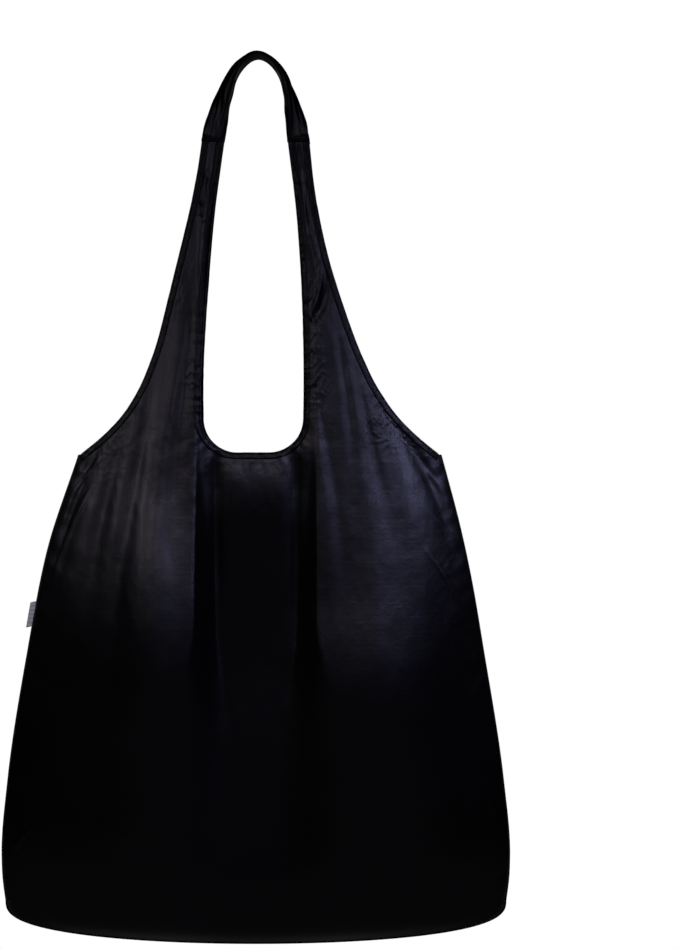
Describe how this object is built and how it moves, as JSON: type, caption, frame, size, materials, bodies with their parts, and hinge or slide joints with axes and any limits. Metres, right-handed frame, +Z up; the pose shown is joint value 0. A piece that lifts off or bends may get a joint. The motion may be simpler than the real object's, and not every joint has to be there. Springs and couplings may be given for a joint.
{
  "type": "foldable tote bag",
  "caption": "Foldable black nylon tote bag hanging filled out by its two long strap handles, with a stuff pouch inside.",
  "frame": {"origin": "underside of the two grips at the top of their arch, where a hand carries the bag", "axes": "+Z up along the hanging bag, +X to the right seen from the front, front panel faces -Y"},
  "size_m": [0.385, 0.092, 0.6757],
  "materials": {
    "nylon_taffeta": "calendered black taffeta, soft sheen",
    "edge_binding": "the same nylon folded and sewn, puckered",
    "seam_allowance": "the same nylon, edges overlocked",
    "sewing_thread": "black polyester thread",
    "woven_tape": "matte black woven tape",
    "woven_label": "white woven satin, blank",
    "elastic": "covered flat elastic"
  },
  "bodies": {
    "bag": {"front_panel": "nylon_taffeta", "back_panel": "nylon_taffeta", "front_neck_binding": "edge_binding", "back_neck_binding": "edge_binding", "front_left_armhole_binding": "edge_binding", "front_right_armhole_binding": "edge_binding", "back_left_armhole_binding": "edge_binding", "back_right_armhole_binding": "edge_binding", "left_side_seam": "seam_allowance", "right_side_seam": "seam_allowance", "bottom_seam": "seam_allowance", "left_bar_tack": "sewing_thread", "right_bar_tack": "sewing_thread"},
    "front_handle": {"front_left_strap": "nylon_taffeta", "front_left_inner_binding": "edge_binding", "front_left_outer_binding": "edge_binding", "front_left_grip_seam": "sewing_thread", "front_right_strap": "nylon_taffeta", "front_right_inner_binding": "edge_binding", "front_right_outer_binding": "edge_binding", "front_right_grip_seam": "sewing_thread", "front_grip": "nylon_taffeta"},
    "back_handle": {"back_left_strap": "nylon_taffeta", "back_left_inner_binding": "edge_binding", "back_left_outer_binding": "edge_binding", "back_left_grip_seam": "sewing_thread", "back_right_strap": "nylon_taffeta", "back_right_inner_binding": "edge_binding", "back_right_outer_binding": "edge_binding", "back_right_grip_seam": "sewing_thread", "back_grip": "nylon_taffeta"},
    "pouch": {"pouch_front": "nylon_taffeta", "pouch_back": "nylon_taffeta", "pouch_mouth_hem": "nylon_taffeta", "pouch_elastic": "elastic", "pouch_label": "woven_label", "pouch_tape": "woven_tape"},
    "tag": {"side_tag": "woven_label"}
  },
  "joints": [
    {"name": "front_handle_fold", "type": "hinge", "parent": "bag", "child": "front_handle", "pos_m": [0, -0.026, -0.2512], "axis": [1, 0, 0], "range_deg": [0, 150]},
    {"name": "back_handle_fold", "type": "hinge", "parent": "bag", "child": "back_handle", "pos_m": [0, 0.026, -0.2512], "axis": [-1, 0, 0], "range_deg": [0, 150]},
    {"name": "pouch_swing", "type": "hinge", "parent": "bag", "child": "pouch", "pos_m": [-0.1322, 0, -0.314], "axis": [0, -1, 0], "range_deg": [0, 90]},
    {"name": "tag_flap", "type": "hinge", "parent": "bag", "child": "tag", "pos_m": [-0.171, 0, -0.422], "axis": [0, 0, 1], "range_deg": [-45, 45]}
  ]
}
